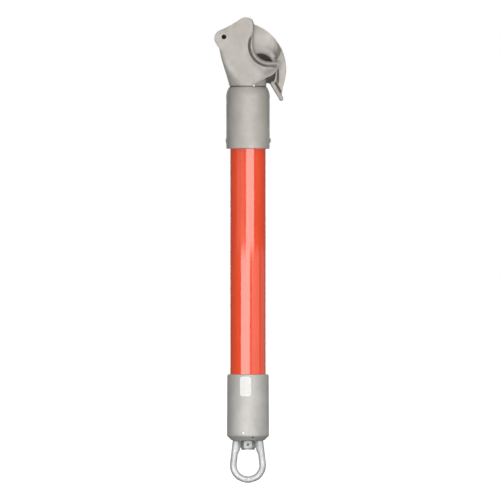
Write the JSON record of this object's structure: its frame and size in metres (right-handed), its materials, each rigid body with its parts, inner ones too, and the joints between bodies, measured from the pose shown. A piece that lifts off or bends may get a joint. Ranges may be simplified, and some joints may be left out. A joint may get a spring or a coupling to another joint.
{
  "type": "insulated link stick",
  "caption": "Straight fibreglass pole with a cast spiral hook head on one end and a free-turning swivel eye on the other, for pulling and lifting by a line.",
  "frame": {"origin": "middle of the bare pole between the two ferrules, on the pole's axis", "axes": "+Z along the pole from the swivel eye to the hook head, -Y out of the head's flat cheek, +X towards the hook's open side"},
  "size_m": [0.075, 0.0456, 0.4863],
  "materials": {
    "cast_aluminium": "as-cast, lightly blasted, with a clear coat",
    "orange_fibreglass": "glossy pigmented epoxy over glass fibre",
    "glass_epoxy": "machined glass-epoxy laminate",
    "foam": "closed-cell rigid foam",
    "adhesive": "cured epoxy",
    "galvanised_steel": "hot-dip galvanised, satin",
    "plated_steel": "zinc-plated, satin",
    "aluminium_rivet": "set rivet, slightly worn",
    "bronze": "machined bearing bronze",
    "white_film": "blank satin label film"
  },
  "bodies": {
    "stick": {"head_casting": "cast_aluminium", "head_ferrule": "cast_aluminium", "head_lock_pin": "plated_steel", "head_cross_rivet": "aluminium_rivet", "head_bond_line": "adhesive", "pole_tube": "orange_fibreglass", "upper_end_plug": "glass_epoxy", "foam_core": "foam", "lower_end_plug": "glass_epoxy", "tail_bond_line": "adhesive", "tail_ferrule": "cast_aluminium", "tail_cross_rivet": "aluminium_rivet", "grease_hole_plug": "plated_steel", "blank_label": "white_film", "nose_bushing": "bronze"},
    "eye": {"bolt_head_washer": "bronze", "eye_washer": "bronze", "swivel_bolt": "plated_steel", "eye_loop": "galvanised_steel", "castle_nut": "plated_steel", "nut_spring_pin": "plated_steel"}
  },
  "joints": [
    {"name": "eye_swivel", "type": "hinge", "parent": "stick", "child": "eye", "pos_m": [0, 0, -0.1866], "axis": [0, 0, 1], "continuous": true}
  ]
}
